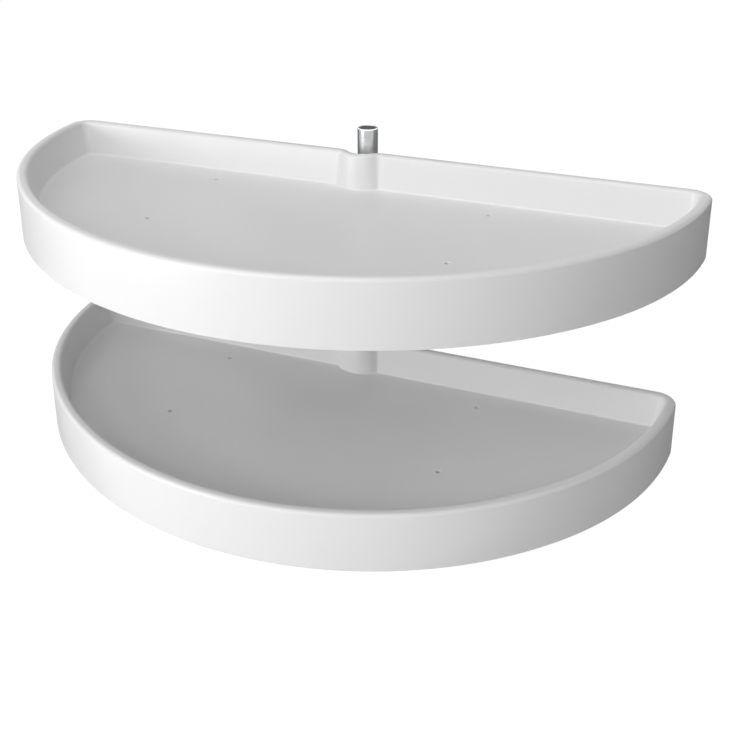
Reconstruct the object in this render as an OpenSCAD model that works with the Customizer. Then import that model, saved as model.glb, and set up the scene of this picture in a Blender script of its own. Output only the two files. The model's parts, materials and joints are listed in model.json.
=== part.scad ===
// Half-moon corner carousel: two moulded trays that turn on one upright post.
// Origin: centre of the base flange's underside, on the post's axis.
// +Z is up, the flat wall of each tray faces +Y and the round front faces -Y.

/* [Trays] */
// Radius of the round front, at the rim's outer edge
tray_radius = 420; // [380:5:460]
// How much tighter the radius is at the tray's two sides
side_tightening = 55; // [20:5:80]
// Height from the skirt's lower edge to the top of the rim
tray_height = 68; // [60:0.5:80]
// Depth of the floor below the top of the rim
floor_depth = 41.5; // [32:0.5:44]
// Thickness of the floor
floor_thickness = 3.5; // [2.5:0.5:5]
// Thickness of the moulded walls
skin = 3; // [2.4:0.2:3.6]
// Width of the rolled rim across its top
rim_width = 11.8; // [11:0.2:15]
// Radius of the rim's two upper edges
rim_edge_radius = 4.6; // [3.6:0.2:5]
// How far the foot of the inner wall stands inside the rim
wall_spread = 5.2; // [3:0.2:6]
// How far the skirt's lower edge stands outside the rim
skirt_flare = 3.9; // [1.5:0.1:5]
// Radius of the fillet between the inner wall and the floor
foot_fillet = 2.5; // [1.5:0.25:3]
// Radius of the inner wall's foot in the rear corners
foot_corner_radius = 6.99; // [3.5:0.01:9]
// Distance from the post's axis forward to the flat wall's rear face
rear_setback = 17.5; // [12:0.25:20]
// Distance from the post's axis back to the centre of the round front
arc_centre_back = 15; // [8:0.5:20]
// Height from one tray's rim to the next
tray_pitch = 252.5; // [200:0.5:300]

/* [Post recess] */
// Distance from the post's axis forward to the centre of the recess
recess_forward = 11.04; // [8:0.01:12]
// Clear space between the hub sleeve and the skirt's foot before it
recess_clearance = 8.75; // [5:0.01:12]
// Radius of the inner wall's foot where it turns into the recess
foot_recess_radius = 4.14; // [3.5:0.01:7]

/* [Ribs and bosses] */
// Thickness of the ribs under the floor
rib_thickness = 2.2; // [1.6:0.2:3]
// Height of the ribs
rib_height = 8; // [5:0.5:9]
// Angle between neighbouring radial ribs
rib_angle = 15; // [10:5:30]
// Radius of the inner ring rib
inner_ring_radius = 120; // [90:5:150]
// Distance between ring ribs
ring_spacing = 90; // [70:5:110]
// Number of ring ribs
ring_count = 3; // [1:1:3]
// Radius of a screw boss
boss_radius = 8; // [7:0.5:10]
// Radius of the hole through the floor and its boss
boss_hole_radius = 2.75; // [2.2:0.05:3.2]
// Depth of the countersink round each hole in the floor
boss_sink_depth = 0.8; // [0.4:0.1:1.2]
// Sideways distance of the bosses from the tray's middle
boss_x = 175.5; // [150:0.25:190]
// Distance of the rear bosses in front of the post's axis
boss_rear = 70; // [64:1:90]
// Distance of the front bosses in front of the post's axis
boss_front = 221.3; // [190:0.1:240]

/* [Post] */
// Diameter of the post
post_diameter = 25; // [22:0.5:28]
// Wall of the post's tube
post_wall = 2; // [1.5:0.25:3]
// Height of the post above the upper tray's rim
post_stub = 23.5; // [15:0.5:60]
// Clear height under the lower tray's skirt
floor_clearance = 75; // [72:1:150]
// Radius of the rounded edge at the tube's open end
post_edge_radius = 1.2; // [0.4:0.1:1.6]
// Thickness of the end cap's top and wall
cap_thickness = 1.5; // [0.8:0.1:2]
// Height of the end cap, which is pushed into the tube
cap_depth = 12; // [6:1:20]
// How far the cap's top lies below the tube's end
cap_recess = 0.4; // [0:0.1:1]

/* [Base] */
// Diameter of the base flange
flange_diameter = 100; // [90:2:130]
// Thickness of the base flange
flange_thickness = 5; // [4:0.5:8]
// Diameter of the circle of floor screws
flange_screw_circle = 76; // [72:1:84]
// Number of floor screws
flange_screw_count = 4; // [3:1:6]
// Radius of the floor screws' holes
flange_hole_radius = 2.6; // [2:0.1:3.2]
// Depth of the countersinks in the flange
flange_sink_depth = 2.4; // [1.5:0.1:3]
// Height of the socket's mouth above the cabinet floor
socket_height = 45; // [36:1:52]
// Wall of the socket
socket_wall = 5.5; // [4.5:0.5:8]
// Thickness of metal under the post's foot
socket_floor = 4; // [2:0.5:6]
// Height of the set screws above the cabinet floor
set_screw_height = 30; // [22:1:32]
// Radius of the set screws
set_screw_radius = 3; // [2.5:0.5:4]

/* [Hub] */
// Length of the hub sleeve
sleeve_length = 44; // [36:1:48]
// Wall of the hub sleeve
sleeve_wall = 2.5; // [2:0.25:3.5]
// Wall of the nylon bushes
bush_wall = 2.2; // [1.6:0.2:3]
// Length of a bush inside the sleeve
bush_length = 14; // [10:1:16]
// Thickness of a bush's flange
bush_flange = 2; // [1.5:0.25:3]
// How far the sleeve stands below the carrier plate
sleeve_tail = 3.5; // [2:0.5:5]
// Thickness of the thrust washer
washer_thickness = 1.5; // [1:0.25:2.5]
// Height of the clamp collar
collar_height = 13; // [12:1:14]
// Wall of the clamp collar
collar_wall = 9; // [8:0.5:12]
// Width of the collar's slit
collar_slit = 2; // [1.5:0.5:3]
// Radius of the collar's clamp screw
clamp_screw_radius = 2; // [1.5:0.25:2.5]
// Thickness of the retaining rings
ring_thickness = 1.2; // [1:0.1:1.6]
// Depth of the retaining rings' grooves in the post
groove_depth = 0.6; // [0.4:0.1:0.8]
// Width of a retaining ring across its section
ring_width = 3; // [2.4:0.2:4]

/* [Carrier] */
// Thickness of the carrier plate
plate_thickness = 4; // [3:0.5:5]
// Width of the neck that passes under the flat wall
neck_width = 44; // [38:1:60]
// Width of the carrier's arms
arm_width = 26; // [20:1:32]
// Radius of the carrier's pads under the bosses
pad_radius = 16; // [14:1:20]

/* [Tray screws] */
// Radius of a tray screw's head
screw_head_radius = 5; // [4:0.25:6]
// Thickness of a tray screw's head
screw_head_height = 1.8; // [1.4:0.1:2.2]
// Depth of the space left over the screw's tip, below the floor's underside
screw_tip_gap = 1.5; // [1:0.5:3]

/* [Clearances] */
// Radial running clearance of the bushes on the post
running_clearance = 0.05; // [0.02:0.01:0.1]
// Radial clearance of pieces that are pressed, welded or clamped together
seat_clearance = 0.02; // [0.01:0.01:0.05]
// Radial clearance between the post and the thrust washers
washer_clearance = 0.3; // [0.2:0.05:0.5]
// Clearance between the carrier plate and the ribs above it
rib_clearance = 0.5; // [0.3:0.1:1]
// Clearance round the carrier's neck in the skirt's cut-out
notch_clearance = 2; // [1:0.5:4]
// Play between a retaining ring and the bush below it
ring_play = 0.3; // [0.2:0.1:0.6]

/* [Hidden] */
// fineness of large and small rounds
$fn = 48;
round_fn = 180;

// overlap of pieces that are joined into one solid
join = 0.01;

// radii that follow from the post outwards
post_radius = post_diameter / 2;
bush_bore = post_radius + running_clearance;
bush_radius = bush_bore + bush_wall;
sleeve_bore = bush_radius + seat_clearance;
sleeve_radius = sleeve_bore + sleeve_wall;
recess_radius = sleeve_radius + recess_clearance + skirt_flare - recess_forward;
socket_radius = post_radius + seat_clearance + socket_wall;
collar_bore = post_radius + seat_clearance;
collar_radius = collar_bore + collar_wall;

// section of the moulded wall: distances inwards from the rim's outer edge
foot_inset = rim_width + wall_spread;
skirt_draft = atan(skirt_flare / tray_height);
inner_draft = atan(wall_spread / floor_depth);
fillet_inset = foot_inset + foot_fillet * (1 - sin(inner_draft)) / cos(inner_draft);
corner_radius = foot_inset + foot_corner_radius;
recess_fillet = foot_inset + foot_recess_radius;
floor_underside = floor_depth + floor_thickness;

// plan of the tray: centres of the front, of the sides, of the rear corners and of the recess's
// fillets. The side's centre lies from the front's in the direction [4, -3].
side_radius = tray_radius - side_tightening;
side_x = 0.8 * side_tightening;
side_y = arc_centre_back - 0.6 * side_tightening;
corner_y = -rear_setback - corner_radius;
corner_x = side_x + sqrt(pow(side_radius - corner_radius, 2) - pow(corner_y - side_y, 2));
fillet_y = -rear_setback - recess_fillet;
fillet_x = sqrt(pow(recess_radius + recess_fillet, 2) - pow(fillet_y + recess_forward, 2));

// points beyond the wall, on the planes where the arcs meet: each plane holds the axes of both
far = 2 * tray_radius;
past_side = [1.1 * tray_radius * 0.8, arc_centre_back - 1.1 * tray_radius * 0.6];
past_corner = [side_x + 1.2 * (corner_x - side_x), side_y + 1.2 * (corner_y - side_y)];
past_fillet = [2 * fillet_x, 2 * fillet_y + recess_forward];

// levels below the top of a tray's rim, from the carrier plate down
boss_height = rib_height + rib_clearance;
plate_top = -floor_underside - boss_height;
plate_bottom = plate_top - plate_thickness;
sleeve_bottom = plate_bottom - sleeve_tail;
sleeve_top = sleeve_bottom + sleeve_length;
washer_top = sleeve_bottom - bush_flange;
collar_top = washer_top - washer_thickness;
collar_bottom = collar_top - collar_height;
groove_bottom = sleeve_top + bush_flange + ring_play;

// levels of the assembly above the cabinet floor
lower_rim = floor_clearance + tray_height;
upper_rim = lower_rim + tray_pitch;
post_top = upper_rim + post_stub;
rims = [lower_rim, upper_rim];
boss_places = [for (side = [-1, 1], front = [boss_rear, boss_front]) [side * boss_x, -front]];

white_plastic = [0.93, 0.93, 0.93];
chrome = [0.78, 0.79, 0.8];
zinc = [0.62, 0.64, 0.66];
nylon = [0.9, 0.89, 0.84];
dark_steel = [0.28, 0.28, 0.3];
dark_plastic = [0.25, 0.25, 0.26];

// ---- moulded tray ----

// Section of the wall: x outwards from the rim's outer edge, y up from the top of the rim.
// An arch of one skin: its inner leg ends at the floor and its outer leg is the skirt.
module wall_section() {
    difference() {
        union() {
            difference() {
                polygon([[0, 0], [skirt_flare, -tray_height], [-foot_inset, -tray_height],
                         [-foot_inset, -floor_depth], [-rim_width, 0]]);
                corner_round(rim_edge_radius, skirt_draft);
                translate([-rim_width, 0]) mirror([1, 0]) corner_round(rim_edge_radius, inner_draft);
            }
            // fillet between the inner face and the floor
            translate([-foot_inset, -floor_depth]) mirror([0, 1]) corner_round(foot_fillet, inner_draft);
        }
        // the hollow between the legs
        polygon([[skin * tan(skirt_draft) - skin, -skin],
                 [skirt_flare - skin, -tray_height - join],
                 [-foot_inset + skin, -tray_height - join],
                 [-foot_inset + skin, -floor_depth],
                 [-rim_width + skin, -skin]]);
        // nothing below the floor on the inner side
        translate([-fillet_inset - join, -tray_height - join])
            square([fillet_inset - foot_inset + skin + 2 * join, tray_height - floor_underside + join]);
    }
}

// Between the corner at [0, 0] and an arc that touches the level line through it from below and
// the face through it that leans out by the given angle: what a rounded edge takes off, or a
// fillet adds
module corner_round(radius, lean) {
    centre = [-radius * (1 - sin(lean)) / cos(lean), -radius];
    difference() {
        polygon([centre, [centre[0], join], [radius, join], centre + 2 * radius * [cos(lean), sin(lean)]]);
        translate(centre) circle(r = radius);
    }
}

// The section turned about the z axis, its rim's outer edge at the given radius
module arc_wall(radius, start, sweep, fn) {
    rotate([0, 0, start]) rotate_extrude(angle = sweep, $fn = fn)
        translate([radius, 0]) wall_section();
}

// The same, with the outer side of the tray towards the axis
module hollow_arc_wall(radius, start, sweep) {
    rotate([0, 0, start]) rotate_extrude(angle = sweep)
        translate([radius, 0]) mirror([1, 0]) wall_section();
}

// A straight stretch of the flat wall from one x to another
module straight_wall(from_x, to_x) {
    translate([from_x, -rear_setback, 0]) rotate([90, 0, 90])
        linear_extrude(to_x - from_x) wall_section();
}

// All that stands over the outline in plan
module over(outline) {
    translate([0, 0, -tray_height - 1]) linear_extrude(tray_height + 2) polygon(outline);
}

// Right half of the wall, in order from the middle of the round front to the middle of the recess
module half_wall() {
    intersection() {
        translate([0, arc_centre_back, 0]) arc_wall(tray_radius, 270, 90, round_fn);
        over([[-1, arc_centre_back], [0, arc_centre_back], past_side, [past_side[0], -far], [-1, -far]]);
    }
    intersection() {
        translate([side_x, side_y, 0]) arc_wall(side_radius, -90, 180, round_fn);
        over([[side_x, side_y], past_side, [far, past_side[1]], [far, past_corner[1]], past_corner]);
    }
    intersection() {
        translate([corner_x, corner_y, 0]) arc_wall(corner_radius, -90, 180, $fn);
        over([[side_x, side_y], past_corner, [past_corner[0], far], [side_x, far]]);
    }
    straight_wall(fillet_x, corner_x);
    intersection() {
        translate([fillet_x, fillet_y, 0]) arc_wall(recess_fillet, 90, 90, $fn);
        over([[0, -recess_forward], past_fillet, [past_fillet[0], far], [0, far]]);
    }
    intersection() {
        translate([0, -recess_forward, 0]) hollow_arc_wall(recess_radius, 270, 90);
        over([[-1, -recess_forward], [0, -recess_forward], past_fillet, [past_fillet[0], -far], [-1, -far]]);
    }
}

module tray_wall() {
    half_wall();
    mirror([1, 0, 0]) half_wall();
}

// Solid that fills the tray's outline, drawn in by inset, from one level up to another
module tray_plan(inset, from_z, to_z) {
    height = to_z - from_z;
    rear = -rear_setback - inset;
    // where the plane between front and side crosses the line of the corners' centres
    cross_x = (arc_centre_back - corner_y) * 4 / 3;
    translate([0, 0, from_z]) difference() {
        union() {
            // the round front, as far back as the corners' centres
            intersection() {
                translate([0, arc_centre_back, 0]) cylinder(r = tray_radius - inset, h = height, $fn = round_fn);
                linear_extrude(height)
                    polygon([[-cross_x, corner_y], [cross_x, corner_y], past_side, [past_side[0], -far],
                             [-past_side[0], -far], [-past_side[0], past_side[1]]]);
            }
            for (side = [0, 1]) mirror([side, 0, 0]) {
                intersection() {
                    translate([side_x, side_y, 0]) cylinder(r = side_radius - inset, h = height, $fn = round_fn);
                    linear_extrude(height)
                        polygon([[cross_x, corner_y], past_side, [far, past_side[1]], [far, past_corner[1]],
                                 past_corner, [corner_x, corner_y]]);
                }
                translate([corner_x, corner_y, 0]) cylinder(r = corner_radius - inset, h = height);
            }
            translate([-corner_x, corner_y, 0]) cube([2 * corner_x, rear - corner_y, height]);
        }
        // the recess round the post
        translate([0, -recess_forward, -join]) cylinder(r = recess_radius + inset, h = height + 2 * join);
    }
}

module floor_ribs() {
    rib_bottom = -floor_underside - rib_height;
    rib_reach = tray_radius + arc_centre_back;
    intersection() {
        tray_plan(foot_inset - skin / 2, rib_bottom - 1, -floor_underside + join);
        translate([0, 0, rib_bottom]) {
            for (a = [180 + rib_angle : rib_angle : 360 - rib_angle])
                rotate([0, 0, a]) translate([recess_radius, -rib_thickness / 2, 0])
                    cube([rib_reach - recess_radius, rib_thickness, rib_height + join]);
            for (i = [0 : ring_count - 1]) {
                r = inner_ring_radius + i * ring_spacing;
                difference() {
                    cylinder(r = r + rib_thickness / 2, h = rib_height + join, $fn = round_fn);
                    translate([0, 0, -join]) cylinder(r = r - rib_thickness / 2, h = rib_height + 3 * join, $fn = round_fn);
                }
            }
        }
    }
}

// A moulded tray, its rim's top at z = 0
module tray() {
    color(white_plastic) difference() {
        union() {
            tray_wall();
            tray_plan(foot_inset - skin / 2, -floor_underside, -floor_depth);
            floor_ribs();
            for (p = boss_places)
                translate([p[0], p[1], plate_top]) cylinder(r = boss_radius, h = boss_height + join);
        }
        for (p = boss_places) translate([p[0], p[1], 0]) {
            translate([0, 0, plate_top - 1]) cylinder(r = boss_hole_radius, h = tray_height);
            translate([0, 0, -floor_depth - boss_sink_depth])
                cylinder(r1 = boss_hole_radius, r2 = boss_hole_radius + 2 * boss_sink_depth, h = 2 * boss_sink_depth);
        }
        // cut-out in the skirt for the carrier's neck
        notch_width = neck_width + 2 * notch_clearance;
        notch_depth = recess_forward + recess_radius + fillet_inset;
        translate([-notch_width / 2, -notch_depth, -tray_height - 1])
            cube([notch_width, notch_depth, tray_height + 1 + plate_top + rib_clearance]);
    }
}

// ---- carrier and hub ----

module arm(from, to) {
    run = to - from;
    translate(from) rotate([0, 0, atan2(run[1], run[0])])
        translate([0, -arm_width / 2, 0]) cube([norm(run), arm_width, plate_thickness]);
}

// Flat plate that carries one tray, welded to its hub sleeve
module carrier_plate() {
    color(zinc) translate([0, 0, plate_bottom]) difference() {
        union() {
            cylinder(r = neck_width / 2, h = plate_thickness);
            translate([-neck_width / 2, -boss_rear - arm_width / 2, 0])
                cube([neck_width, boss_rear + arm_width / 2, plate_thickness]);
            for (p = boss_places) {
                translate(p) cylinder(r = pad_radius, h = plate_thickness);
                arm([0, -boss_rear], p);
            }
            for (side = [-1, 1])
                arm([side * boss_x, -boss_rear], [side * boss_x, -boss_front]);
        }
        translate([0, 0, -1]) {
            cylinder(r = sleeve_radius + seat_clearance, h = plate_thickness + 2);
            for (p = boss_places)
                translate(p) cylinder(r = boss_hole_radius, h = plate_thickness + 2);
        }
    }
}

module hub_sleeve() {
    color(zinc) translate([0, 0, sleeve_bottom])
        tube(sleeve_radius, sleeve_bore, sleeve_length);
}

module tube(outer, inner, height) {
    difference() {
        cylinder(r = outer, h = height);
        translate([0, 0, -1]) cylinder(r = inner, h = height + 2);
    }
}

// A flanged bush that fills the sleeve's mouth from below, its flange's inner face at z = 0
module bush() {
    color(nylon) difference() {
        union() {
            translate([0, 0, -bush_flange]) cylinder(r = sleeve_radius, h = bush_flange);
            cylinder(r = bush_radius, h = bush_length);
        }
        translate([0, 0, -bush_flange - 1]) cylinder(r = bush_bore, h = bush_length + bush_flange + 2);
    }
}

module tray_screws() {
    shank_top = -floor_underside - screw_tip_gap;
    color(zinc) for (p = boss_places) translate([p[0], p[1], plate_bottom]) {
        cylinder(r = boss_hole_radius - seat_clearance, h = shank_top - plate_bottom);
        difference() {
            translate([0, 0, -screw_head_height]) cylinder(r = screw_head_radius, h = screw_head_height);
            // hexagon socket
            translate([0, 0, -screw_head_height - 1])
                cylinder(r = screw_head_radius / 2, h = 1 + screw_head_height * 0.7, $fn = 6);
        }
    }
}

module retaining_ring() {
    color(dark_steel) translate([0, 0, groove_bottom]) difference() {
        tube(post_radius - groove_depth + ring_width, post_radius - groove_depth + seat_clearance, ring_thickness);
        // the ring's open ends face back
        translate([-ring_width, 0, -1]) cube([2 * ring_width, post_radius + ring_width, ring_thickness + 2]);
    }
}

module thrust_washer() {
    color(nylon) translate([0, 0, collar_top])
        tube(sleeve_radius, post_radius + washer_clearance, washer_thickness);
}

// Split collar; its slit faces back and a screw across the slit closes it on the post
module clamp_collar() {
    color(chrome) translate([0, 0, collar_bottom]) difference() {
        tube(collar_radius, collar_bore, collar_height);
        translate([-collar_slit / 2, 0, -1]) cube([collar_slit, collar_radius + 1, collar_height + 2]);
        clamp_screw_hole();
    }
}

clamp_screw_y = post_radius + (collar_radius - post_radius) / 2;
clamp_head_radius = 1.75 * clamp_screw_radius;
clamp_seat = sqrt(pow(collar_radius, 2) - pow(clamp_screw_y + clamp_head_radius, 2)) - clamp_screw_radius;

// Bore across the slit and the flat-bottomed pocket for the screw's head
module clamp_screw_hole() {
    translate([0, clamp_screw_y, collar_height / 2]) rotate([0, 90, 0]) {
        translate([0, 0, -clamp_seat]) cylinder(r = clamp_screw_radius + seat_clearance, h = clamp_seat + collar_radius);
        translate([0, 0, clamp_seat]) cylinder(r = clamp_head_radius + washer_clearance, h = collar_radius);
    }
}

module collar_screw() {
    head_height = 2 * clamp_screw_radius;
    color(dark_steel) translate([0, clamp_screw_y, collar_bottom + collar_height / 2]) rotate([0, 90, 0])
        difference() {
            union() {
                translate([0, 0, -clamp_seat + seat_clearance]) cylinder(r = clamp_screw_radius, h = 2 * clamp_seat - seat_clearance + join);
                translate([0, 0, clamp_seat]) cylinder(r = clamp_head_radius, h = head_height);
            }
            translate([0, 0, clamp_seat + head_height / 2]) cylinder(r = clamp_screw_radius / 1.2, h = head_height, $fn = 6);
        }
}

// ---- post and base ----

module post() {
    color(chrome) difference() {
        translate([0, 0, socket_floor]) tube(post_radius, post_radius - post_wall, post_top - socket_floor);
        translate([0, 0, post_top]) rotate_extrude() translate([post_radius, 0]) corner_round(post_edge_radius, 0);
        for (rim = rims) translate([0, 0, rim + groove_bottom - seat_clearance])
            tube(post_radius + 1, post_radius - groove_depth, ring_thickness + 2 * seat_clearance);
    }
}

// A cup, its closed end up
module post_cap() {
    cap_radius = post_radius - post_wall - seat_clearance;
    color(dark_plastic) translate([0, 0, post_top - cap_recess - cap_depth]) difference() {
        cylinder(r = cap_radius, h = cap_depth);
        translate([0, 0, -1]) cylinder(r = cap_radius - cap_thickness, h = cap_depth - cap_thickness + 1);
    }
}

module base_flange() {
    color(zinc) difference() {
        union() {
            cylinder(r = flange_diameter / 2, h = flange_thickness);
            cylinder(r = socket_radius, h = socket_height);
        }
        translate([0, 0, socket_floor]) cylinder(r = post_radius + seat_clearance, h = socket_height);
        for (i = [0 : flange_screw_count - 1]) rotate([0, 0, (i + 0.5) * 360 / flange_screw_count])
            translate([flange_screw_circle / 2, 0, 0]) {
                translate([0, 0, -1]) cylinder(r = flange_hole_radius, h = flange_thickness + 2);
                translate([0, 0, flange_thickness - flange_sink_depth])
                    cylinder(r1 = flange_hole_radius, r2 = flange_hole_radius + 2 * flange_sink_depth, h = 2 * flange_sink_depth);
            }
        set_screw_places() cylinder(r = set_screw_radius + seat_clearance, h = socket_radius + 1);
    }
}

// The two set screws press on the post from behind, a quarter turn apart
module set_screw_places() {
    for (a = [45, 135]) rotate([0, 0, a]) translate([0, 0, set_screw_height]) rotate([0, 90, 0]) children();
}

module base_set_screws() {
    color(dark_steel) set_screw_places() difference() {
        translate([0, 0, post_radius + seat_clearance]) cylinder(r = set_screw_radius, h = socket_wall);
        translate([0, 0, socket_radius - socket_wall / 2]) cylinder(r = set_screw_radius / 2, h = socket_wall, $fn = 6);
    }
}

// ---- nodes ----

module at_rim(rim) {
    translate([0, 0, rim]) children();
}

module top_bush() {
    translate([0, 0, sleeve_top]) mirror([0, 0, 1]) bush();
}

module bottom_bush() {
    translate([0, 0, sleeve_bottom]) bush();
}

at_rim(upper_rim) tray();  // upper_tray
at_rim(upper_rim) carrier_plate();  // upper_carrier_plate
at_rim(upper_rim) hub_sleeve();  // upper_hub_sleeve
at_rim(upper_rim) top_bush();  // upper_hub_top_bush
at_rim(upper_rim) bottom_bush();  // upper_hub_bottom_bush
at_rim(upper_rim) tray_screws();  // upper_tray_screws
at_rim(upper_rim) retaining_ring();  // upper_retaining_ring
at_rim(upper_rim) thrust_washer();  // upper_thrust_washer
at_rim(upper_rim) clamp_collar();  // upper_clamp_collar
at_rim(upper_rim) collar_screw();  // upper_collar_screw
at_rim(lower_rim) tray();  // lower_tray
at_rim(lower_rim) carrier_plate();  // lower_carrier_plate
at_rim(lower_rim) hub_sleeve();  // lower_hub_sleeve
at_rim(lower_rim) top_bush();  // lower_hub_top_bush
at_rim(lower_rim) bottom_bush();  // lower_hub_bottom_bush
at_rim(lower_rim) tray_screws();  // lower_tray_screws
at_rim(lower_rim) retaining_ring();  // lower_retaining_ring
at_rim(lower_rim) thrust_washer();  // lower_thrust_washer
at_rim(lower_rim) clamp_collar();  // lower_clamp_collar
at_rim(lower_rim) collar_screw();  // lower_collar_screw
post();
post_cap();
base_flange();
base_set_screws();
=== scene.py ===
"""Corner carousel: two white half-moon trays on one post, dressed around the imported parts."""

import json
import logging
import math
from dataclasses import dataclass
from enum import Enum
from typing import Callable, Optional, Sequence, Union

import bmesh
import bpy
from mathutils import Matrix, Vector

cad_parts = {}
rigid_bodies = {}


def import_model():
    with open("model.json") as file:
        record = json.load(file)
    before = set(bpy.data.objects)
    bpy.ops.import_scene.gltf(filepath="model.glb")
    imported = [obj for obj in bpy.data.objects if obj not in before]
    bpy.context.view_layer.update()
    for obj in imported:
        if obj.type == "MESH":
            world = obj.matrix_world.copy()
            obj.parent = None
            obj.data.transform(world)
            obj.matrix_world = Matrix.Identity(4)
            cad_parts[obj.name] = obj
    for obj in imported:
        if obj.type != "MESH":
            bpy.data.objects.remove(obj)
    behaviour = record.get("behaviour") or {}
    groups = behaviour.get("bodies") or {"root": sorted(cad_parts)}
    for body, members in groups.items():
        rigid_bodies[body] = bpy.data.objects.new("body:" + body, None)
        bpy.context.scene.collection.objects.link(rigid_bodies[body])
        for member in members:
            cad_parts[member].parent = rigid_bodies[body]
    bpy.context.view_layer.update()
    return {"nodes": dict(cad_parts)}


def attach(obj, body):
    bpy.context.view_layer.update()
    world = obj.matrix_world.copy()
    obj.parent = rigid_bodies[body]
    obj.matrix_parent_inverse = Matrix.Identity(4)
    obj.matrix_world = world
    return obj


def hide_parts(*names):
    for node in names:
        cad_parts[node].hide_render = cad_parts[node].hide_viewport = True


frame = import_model()

log = logging.getLogger("carousel")
WELD = 1e-6  # metres: vertices this close are one
MERGE = 5 * WELD  # the same after a sweep or a mirror
SHARP = math.radians(32)  # edges that fold by more stay sharp
FLAT = math.radians(0.2)  # faces that differ by less are one
QUARTER = math.pi / 2
WHITE = (1.0, 1.0, 1.0, 1.0)
FIXED = "post_assembly"  # the body that doesn't turn
UPPER_RIM = 0.3955  # metres from the cabinet floor to the upper tray's rim
LOWER_RIM = 0.143  # the same for the lower tray
STAGE_HALF = 14.0  # half the width of the floor
CARD_LIFT = 0.001  # how far cards stay clear of the floor


# ---- shader expressions ----


class Field:
    """A number, colour or vector that varies over a surface: one output of a shader node."""

    def __init__(self, tree: "ShaderTree", socket: bpy.types.NodeSocket) -> None:
        """Keep the tree that the socket belongs to.

        Args:
            tree: The node tree under construction.
            socket: The output that carries the value.
        """
        self.tree = tree
        self.socket = socket

    def _math(self, operation: str, first: "Value", second: "Value") -> "Field":
        """Add one Math node.

        Args:
            operation: The node's operation.
            first: Its first value.
            second: Its second value.

        Returns:
            The node's result.
        """
        return self.tree.node("ShaderNodeMath", {"operation": operation}, {0: first, 1: second})

    def __add__(self, other: "Value") -> "Field":
        """Sum."""
        return self._math("ADD", self, other)

    def __radd__(self, other: "Value") -> "Field":
        """Sum, reflected."""
        return self._math("ADD", other, self)

    def __sub__(self, other: "Value") -> "Field":
        """Difference."""
        return self._math("SUBTRACT", self, other)

    def __rsub__(self, other: "Value") -> "Field":
        """Difference, reflected."""
        return self._math("SUBTRACT", other, self)

    def __mul__(self, other: "Value") -> "Field":
        """Product."""
        return self._math("MULTIPLY", self, other)

    def __rmul__(self, other: "Value") -> "Field":
        """Product, reflected."""
        return self._math("MULTIPLY", other, self)

    def above(self, level: float, soft: float) -> "Field":
        """Mask of where the value is over a level.

        Args:
            level: The middle of the step.
            soft: Half the width of the step.

        Returns:
            0 below the step and 1 above it.
        """
        return self.tree.node(
            "ShaderNodeMapRange",
            {"interpolation_type": "SMOOTHSTEP"},
            {"Value": self, "From Min": level - soft, "From Max": level + soft},
        )


Value = Union[Field, float, Sequence[float]]


class ShaderTree:
    """Nodes of one material or world, made one at a time."""

    def __init__(self, tree: bpy.types.NodeTree) -> None:
        """Start from an empty tree.

        Args:
            tree: The node tree to fill.
        """
        self.tree = tree
        self.tree.nodes.clear()

    def node(
        self,
        kind: str,
        settings: Optional[dict] = None,
        inputs: Optional[dict] = None,
        output: Union[int, str] = 0,
    ) -> Field:
        """Add a node.

        Args:
            kind: The node's type.
            settings: Properties that are set first, such as a Math node's operation.
            inputs: Value or link of each input, by name or number.
            output: Which output to hand back.

        Returns:
            The chosen output.
        """
        made = self.tree.nodes.new(kind)
        for name, value in (settings or {}).items():
            setattr(made, name, value)
        for name, value in (inputs or {}).items():
            if isinstance(value, Field):
                self.tree.links.new(value.socket, made.inputs[name])
            else:
                made.inputs[name].default_value = value
        return Field(self, made.outputs[output] if len(made.outputs) else None)

    def place(self) -> Field:
        """Where a point is on the object, in metres."""
        return self.node("ShaderNodeTexCoord", output="Object")

    def noise(
        self,
        where: Field,
        scale: float,
        detail: float = 2.0,
        stretch: Sequence[float] = (1, 1, 1),
    ) -> Field:
        """Smooth random field from 0 to 1.

        Args:
            where: The coordinates to read.
            scale: Features per metre.
            detail: Octaves of finer noise.
            stretch: Factors on the three coordinates.

        Returns:
            The noise.
        """
        moved = self.node("ShaderNodeMapping", {}, {"Vector": where, "Scale": tuple(stretch)})
        inputs = {"Vector": moved, "Scale": scale, "Detail": detail}
        return self.node("ShaderNodeTexNoise", {}, inputs)

    def mix(self, factor: Value, first: Sequence[float], second: Sequence[float]) -> Field:
        """Blend of two colours.

        Args:
            factor: 0 for the first and 1 for the second.
            first: A linear colour.
            second: A linear colour.

        Returns:
            The blended colour.
        """
        return self.node(
            "ShaderNodeMix",
            {"data_type": "RGBA"},
            {0: factor, 6: (*first, 1.0), 7: (*second, 1.0)},
            output=2,
        )

    def bump(self, height: Field, depth: float, strength: float = 1.0) -> Field:
        """Normal of a finely uneven surface.

        Args:
            height: Relief from 0 to 1.
            depth: Height of the relief in metres.
            strength: Share of the effect.

        Returns:
            The normal.
        """
        inputs = {"Height": height, "Distance": depth, "Strength": strength}
        return self.node("ShaderNodeBump", {}, inputs)

    def light(self, strength: float) -> Field:
        """Surface that shines white.

        Args:
            strength: How brightly.

        Returns:
            The surface.
        """
        return self.node("ShaderNodeEmission", {}, {"Color": WHITE, "Strength": strength})

    def blend(self, factor: Value, first: Field, second: Field) -> Field:
        """Blend of two surfaces.

        Args:
            factor: 0 for the first and 1 for the second.
            first: A surface.
            second: A surface.

        Returns:
            The blended surface.
        """
        return self.node("ShaderNodeMixShader", {}, {0: factor, 1: first, 2: second})


# ---- finishes ----


def shade(colour: Sequence[float], factor: float) -> tuple:
    """A colour made lighter or darker.

    Args:
        colour: A linear colour.
        factor: What to multiply it by.

    Returns:
        The new colour.
    """
    return tint(colour, (factor, factor, factor))


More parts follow.
